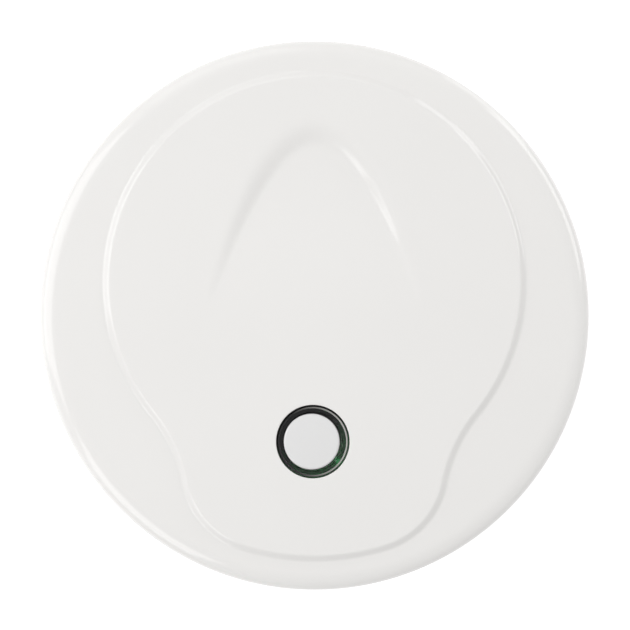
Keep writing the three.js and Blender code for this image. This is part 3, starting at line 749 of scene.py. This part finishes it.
def tray():
    """The floor, the outer wall, and the skirt that reaches back past the floor."""
    foot, top = housing_low.z, grille_low.z - SEAT
    outside = housing_high.x
    inside = outside - TRAY_WALL
    skirt_inside = TRAY_FOOT_R - 1.8
    return Shells().revolve(
        rounded(
            [
                (0, FLOOR[0], 0),
                (skirt_inside + 0.1, FLOOR[0], 0.4),
                (skirt_inside, foot, 0.3),
                (TRAY_FOOT_R, foot, 0.6),
                (outside, top, 0.6),
                (inside, top, 0.3),
                (inside - 0.6, FLOOR[1], 1),
                (0, FLOOR[1], 0),
            ]
        )
    )


def rear_housing():
    """The tray with its posts, battery saddles, bayonet hooks, mark and slot for the slider."""
    posts, bores, screw_holes, stems, hooks = (Shells() for _ in range(5))
    for degrees in POST_ANGLES:
        centre = on_circle(POST_AT, degrees)
        posts.prism(circle(POST_R, centre), FLOOR[1] - BITE, board_low.z - SEAT)
        bores.prism(circle(SCREW_HEAD_R + PLAY, centre), FLOOR[0] - THROUGH, SCREW_SEAT)
        hole = circle(SCREW_SHANK_R + SCREW_CLEARANCE, centre)
        screw_holes.prism(hole, SCREW_SEAT - THROUGH, board_low.z + THROUGH)
    for degrees in BAYONET_ANGLES:
        start, end = degrees - BAYONET_HALF, degrees + BAYONET_HALF
        stems.prism(arc_band(HOOK_STEM, HOOK_OUTER, start, end), HOOK_Z[0], FLOOR[0] + BITE)
        hooks.prism(arc_band(HOOK_INNER, HOOK_STEM + 2 * BITE, start, end), *HOOK_Z)
    saddle_at = 9
    for along in (-saddle_at, saddle_at):
        outline, place, thick = battery_saddle(along)
        posts.prism(outline, 0, thick, place)
    leaning_out = 0.3  # the wall leans out this far over the mark's height
    stems.prism(mark_outline(TRAY_FOOT_R, MARK_ANGLE, MARK_HALF, leaning_out), *TRAY_MARK_Z)
    clear = SLIDER_HALF + 2
    slot = arc_band(
        SLIDER_INNER - PLAY, SLIDER_OUTER + PLAY, SLIDER_ANGLE - TWIST - clear, SLIDER_ANGLE + clear
    )
    slider_slot = Shells().prism(slot, FLOOR[0] - THROUGH, FLOOR[1] + THROUGH)
    housing = tray().object("housing_tray")
    combine(housing, "UNION", posts, stems, hooks)
    combine(housing, "DIFFERENCE", bores, screw_holes, slider_slot)
    finish_piece(housing, GLOSS_WHITE, "head", "gloss_white", "rear_housing")


# ------------------------------------------------------------------ mounting plate
def plate_base():
    """The web between the cable hole and the rim, with the spigot that stands on the rim."""
    web, top = PLATE_WEB
    hub = CABLE_HOLE_R + 2
    outside = plate_high.x
    rim = outside - PLATE_RIM
    spigot = rim + 1.6
    return Shells().revolve(
        rounded(
            [
                (CABLE_HOLE_R, 0, 0.3),
                (hub, 0, 0.3),
                (hub, web, 0),
                (rim, web, 0.3),
                (rim, 0, 0.3),
                (outside, 0, 0.4),
                (outside, top, 0.5),
                (spigot, top, 0.2),
                (spigot, SPIGOT_TOP, 0.4),
                (rim, SPIGOT_TOP, 0.4),
                (rim, top, 0.3),
                (CABLE_HOLE_R, top, 0.3),
            ]
        )
    )


def plate_ribs():
    """Six ribs on the back, and four pads that carry the screw slots back to the ceiling."""
    top = PLATE_WEB[1] - 0.1  # inside the web
    rim = plate_high.x - PLATE_RIM
    outer = SCREW_SLOT_R + 5
    ribs, pads = Shells(), Shells()
    rib = rectangle(CABLE_HOLE_R + 1.5, rim + BITE / 2, -0.7, 0.7)
    for degrees in range(0, 360, 60):
        ribs.prism(turned(rib, degrees), 0, top)
    for degrees in (0, 180):
        pads.prism(arc_band(SCREW_SLOT_R - 5, outer, degrees - 17, degrees + 17), 0, top)
    for degrees in (90, 270):
        pads.prism(turned(rectangle(SCREW_SLOT_R - 9, outer, -5, 5), degrees), 0, top)
    return ribs, pads


def screw_slots():
    """Two slots that follow a circle, and two straight ones that point at the middle."""
    z0, z1 = -THROUGH, PLATE_WEB[1] + THROUGH
    half = SCREW_SLOT_W / 2
    corners = rectangle(SCREW_SLOT_R - 8, SCREW_SLOT_R + 4, -half, half)
    straight = rounded([(x, y, half - HAIR) for x, y in corners], 8)
    slots = Shells()
    for degrees in (0, 180):
        slots.prism(slot_outline(SCREW_SLOT_R, SCREW_SLOT_W, degrees - 10, degrees + 10), z0, z1)
    for degrees in (90, 270):
        slots.prism(turned(straight, degrees), z0, z1)
    return slots


def plate_bayonet():
    """The windows in the web, and the stems, ledges and stops that stand beside them."""
    top = PLATE_WEB[1]
    ledge_top = plate_high.z - HAIR
    windows, stems, ledges = Shells(), Shells(), Shells()
    for degrees in BAYONET_ANGLES:
        start, end = degrees - BAYONET_HALF, degrees + BAYONET_HALF
        stop_from, stop_to = degrees - STOP[0], degrees - STOP[1]
        window = arc_band(LEDGE_STEM + PLAY, LEDGE_OUTER + PLAY, start, end)
        windows.prism(window, -THROUGH, top + THROUGH)
        stems.prism(arc_band(LEDGE_INNER, LEDGE_STEM, stop_from, end), top - BITE, plate_high.z)
        ledges.prism(arc_band(LEDGE_STEM - 1, LEDGE_OUTER, start, end), LEDGE_FOOT, ledge_top)
        ledges.prism(arc_band(LEDGE_STEM - 1, LEDGE_OUTER, stop_from, stop_to), top - BITE, ledge_top)
    return windows, stems, ledges


def slider_prongs():
    """Two prongs that hold the power slider still while the head turns."""
    clear, width = SLIDER_HALF + 1, 5
    prongs = Shells()
    for start in (SLIDER_ANGLE - clear - width, SLIDER_ANGLE + clear):
        prong = arc_band(SLIDER_INNER - 0.6, SLIDER_OUTER + 0.6, start, start + width)
        prongs.prism(prong, PLATE_WEB[1] - BITE, plate_high.z)
    return prongs


def mounting_plate():
    """The plate with its ribs, screw slots, bayonet ledges, marks and prongs."""
    plate = plate_base().object("plate_base")
    windows, stems, ledges = plate_bayonet()
    for degrees, half in ((MARK_ANGLE, MARK_HALF), (MARK_ANGLE + TWIST, MARK_HALF / 2)):
        ledges.prism(mark_outline(plate_high.x, degrees, half), 0.5, PLATE_WEB[1] - 0.5)
    combine(plate, "DIFFERENCE", windows)
    combine(plate, "UNION", *plate_ribs(), stems, ledges, slider_prongs())
    combine(plate, "DIFFERENCE", screw_slots())
    finish_piece(plate, SATIN_WHITE, "mounting_plate", "satin_white", "mounting_plate")


# ------------------------------------------------------------------ smoke inlet
def inlet_grille():
    """Three bands with upright fins between them."""
    z0, z1 = grille_low.z, grille_high.z
    middle = (z0 + z1) / 2
    inner, outer = 47.5, grille_high.x
    band, half_middle_band = 1.4, 0.4
    grille = Shells()
    for r0, r1, low, high in (
        (inner, outer, z0, z0 + band),
        (inner + 0.5, outer - 0.8, middle - half_middle_band, middle + half_middle_band),
        (inner, outer - 0.4, z1 - band, z1),
    ):
        grille.revolve(rounded([(r0, low, 0.2), (r1, low, 0.25), (r1, high, 0.25), (r0, high, 0.2)], 4))
    fins = 36
    r0, r1, half = inner + 0.6, outer - 1.2, 0.7
    section = rounded([(r0, -half, 0.3), (r1, -half, 0.5), (r1, half, 0.5), (r0, half, 0.3)], 4)
    for k in range(fins):
        grille.prism(turned(section, (k + 0.5) * 360 / fins), z0 + 0.5, z1 - 0.5)
    finish_piece(grille.object("grille_fins"), SATIN_WHITE, "head", "satin_white", "inlet_grille")


def insect_screen():
    """A woven band: upright wires with level wires that pass them in and out in turn."""
    z0, z1 = screen_low.z, screen_high.z
    wire, wire_sides = 0.09, 4
    weave = 0.06  # how far the level wires swing in and out
    r = screen_high.x - wire - weave
    uprights, levels = 200, 6
    screen = Shells()
    for k in range(uprights):
        centre = on_circle(r, k * 360 / uprights)
        screen.prism(circle(wire, centre, 6), z0, z1)
    for level in range(levels):
        z = z0 + (z1 - z0) * (level + 0.5) / levels
        rows = [[] for _ in range(wire_sides)]
        points = []
        for k in range(1, 2 * uprights + 1):
            swing = weave * math.cos(math.pi * (k / 2 + level))
            for side, row in enumerate(rows):
                out, up = on_circle(wire, side * 360 / wire_sides)
                row.append(len(points))
                points.append((*on_circle(r + swing + out, k * 180 / uprights), z + up))
        screen.add(points, loop_faces(rows))
    finish_piece(screen.object("screen_wires"), STEEL, "head", "steel", "insect_screen")


# ------------------------------------------------------------------ test button
def button_lens():
    """The clear ring with painted shade on its upper-left side and a frosted lip with a painted
    highlight, its flange, and the web that carries the cap.
    """
    flange = (lens_low.z, lens_low.z + 0.8)
    flange_r = LENS_R + 1.35
    web = lens_low.z + 1.4
    web_r = 6
    pip_r = 1.5  # the pip in the web's middle presses the switch plunger
    seat, pocket = web + 1.1, CAP_R + PLAY
    top, dish = lens_high.z, lens_high.z - LENS_DISH
    lens = Shells().revolve(
        rounded(
            [
                (0, flange[1], 0),
                (pip_r, flange[1], 0.2),
                (pip_r, web, 0.1),
                (web_r, web, 0.2),
                (web_r, flange[0], 0.15),
                (flange_r, flange[0], 0.2),
                (flange_r, flange[1], 0.2),
                (LENS_R, flange[1], 0.1),
                (LENS_R, top - 0.12, 0.05),
                (LENS_R - 0.08, top, 0.04),
                (LENS_R - 0.16, top, 0.03),
                (LENS_R - 0.34, dish, 0.04),
                (pocket, dish, 0.08),
                (pocket, seat, 0.15),
                (0, seat, 0),
            ]
        ),
        SMALL,
        tuple(BUTTON),
    )
    ring = finish_piece(lens.object("lens_ring"), CLEAR_PAINTED_SHADE, "test_button", "clear", "button_lens")
    # the lip faces get the frosted material with its painted highlight
    ring.data.materials.append(FROSTED_LIP_HIGHLIGHT)
    lip_from = dish + 0.03
    for face in ring.data.polygons:
        face.material_index = int(face.center.z > lip_from * MM)


def button_cap():
    """A low disc with a rounded edge and a crowned top."""
    low, high = cap_low.z, cap_high.z
    cap = Shells().revolve(
        rounded([(0, low, 0), (CAP_R, low, 0.15), (CAP_R, high - 0.05, 0.45), (0, high, 0)], 8),
        SMALL,
        (CAP_X, BUTTON.y),
    )
    finish_piece(cap.object("button_face"), CAP_WHITE, "test_button", "cap_white", "button_cap")


def coil(middle, r, wire, turns, z0, z1):
    """A coil of round wire about an upright axis, with flat ends."""
    steps, sides = turns * 40, 10
    rows = [[] for _ in range(sides)]
    points = []
    for k in range(steps + 1):
        z = z0 + (z1 - z0) * k / steps
        for side, row in enumerate(rows):
            out, up = on_circle(wire, 360 * side / sides)
            x, y = on_circle(r + out, 360 * turns * k / steps)
            row.append(len(points))
            points.append((middle.x + x, middle.y + y, z + up))
    faces = []
    for side, row in enumerate(rows):
        after = rows[(side + 1) % sides]
        for k in range(steps):
            faces.append((row[k], row[k + 1], after[k + 1], after[k]))
    faces.append(tuple(row[0] for row in rows))
    faces.append(tuple(row[-1] for row in reversed(rows)))
    return Shells().add(points, faces)


def button_spring():
    """The coil that returns the button, and shortens as it is pressed."""
    r, wire, turns = 5, 0.25, 3
    spring = coil(BUTTON, r, wire, turns, spring_low.z + wire, spring_high.z - wire).object("spring_coil")
    finish_piece(spring, STEEL, "head", "steel", "button_spring")
    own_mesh(spring)


# ------------------------------------------------------------------ pieces whose CAD shape stays
CAD_MATERIALS = {
    "circuit_board": BOARD,
    "microcontroller": BLACK,
    "capacitor_left": STEEL,
    "capacitor_right": STEEL,
    "boost_coil": WINDING,
    "status_led_left": EPOXY,
    "status_led_right": GLOW,
    "chamber_base": BLACK,
    "labyrinth_ring": BLACK,
    "chamber_lid": BLACK,
    "infrared_emitter": EPOXY,
    "photodiode": BLACK,
    "sounder_seat": BLACK,
    "piezo_disc": BRASS,
    "piezo_ceramic": CERAMIC,
    "sounder_resonator": BLACK,
    "battery_cell": SLEEVE,
    "battery_tab_negative": STEEL,
    "battery_tab_positive": STEEL,
    "switch_body": BLACK,
    "switch_plunger": GREY,
    "power_slider": BLACK,
    "power_switch": GREY,
    "case_screw_1": STEEL,
    "case_screw_2": STEEL,
    "case_screw_3": STEEL,
}


def cad_pieces():
    """Gives the pieces whose CAD shape stays their materials."""
    for name, material in CAD_MATERIALS.items():
        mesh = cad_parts[name].data
        mesh.materials.clear()
        mesh.materials.append(material)


# ------------------------------------------------------------------ stage, light and camera
def floor():
    """A pale floor that glows faintly."""
    m = Nodes("floor", (0.45, 0.45, 0.45), 0.9, Emission_Strength=0.68)
    m.shader.inputs["Emission Color"].default_value = (1, 1, 1, 1)
    m.vary_roughness(m.noise(0.05), 0.85, 0.95)
    reach = 4  # metres each way
    corners = [(x, y, 0) for x, y in rectangle(-reach, reach, -reach, reach)]
    mesh = bpy.data.meshes.new("floor")
    mesh.from_pydata(corners, [], [(0, 1, 2, 3)])
    mesh.materials.append(m.material)
    made = bpy.data.objects.new("floor", mesh)
    bpy.context.scene.collection.objects.link(made)


def softbox(name, azimuth, elevation, strength, width, height=None, distance=0.9):
    """A lamp that faces the alarm, in watts, metres and degrees. Azimuth 0 is +X and 90 is +Y."""
    light = bpy.data.lights.new(name, "AREA")
    light.shape = "RECTANGLE"
    light.size = width
    light.size_y = height or width
    light.energy = strength
    lamp = bpy.data.objects.new(name, light)
    a, e = math.radians(azimuth), math.radians(elevation)
    away = Vector((math.cos(a) * math.cos(e), math.sin(a) * math.cos(e), math.sin(e)))
    lamp.location = away * distance
    lamp.rotation_euler = away.to_track_quat("Z", "Y").to_euler()
    bpy.context.scene.collection.objects.link(lamp)


def lights():
    """A large key lamp on the -X side, weaker lamps round the alarm, and a white world."""
    softbox("key", 167, 43, 2.8, 0.64)
    softbox("key_low", 172, 20, 0.6, 0.5)
    softbox("front_left", 228, 46, 1.25, 0.4)
    softbox("back_left", 110, 42, 0.4, 0.4)
    softbox("back_right", 50, 14, 0.9, 0.35)
    softbox("strip_right", 29, 33, 1.6, 0.54, 0.3)
    world = bpy.data.worlds.new("studio")
    world.use_nodes = True
    background = world.node_tree.nodes["Background"]
    background.inputs["Color"].default_value = (1, 1, 1, 1)
    background.inputs["Strength"].default_value = 0.59
    bpy.context.scene.world = world


def camera():
    """Square above the face, far back, framing the alarm as a disc that nearly fills the picture."""
    lens, sensor = 250, 36
    share = 0.86825  # of the picture's width that the alarm takes up
    distance = 2 * COVER_R / share * lens / sensor
    outline_z = 35  # about the height of the alarm's outline
    aside = 0.1  # the picture's middle lies this far from the alarm's axis, to +X and +Y
    data = bpy.data.cameras.new("camera")
    data.lens = lens
    data.sensor_width = sensor
    made = bpy.data.objects.new("camera", data)
    made.location = (aside * MM, aside * MM, (outline_z + distance) * MM)
    bpy.context.scene.collection.objects.link(made)
    bpy.context.scene.camera = made
    bpy.context.scene.view_settings.view_transform = "Standard"


front_cover()
rear_housing()
mounting_plate()
inlet_grille()
insect_screen()
button_lens()
button_cap()
button_spring()
cad_pieces()
floor()
lights()
camera()
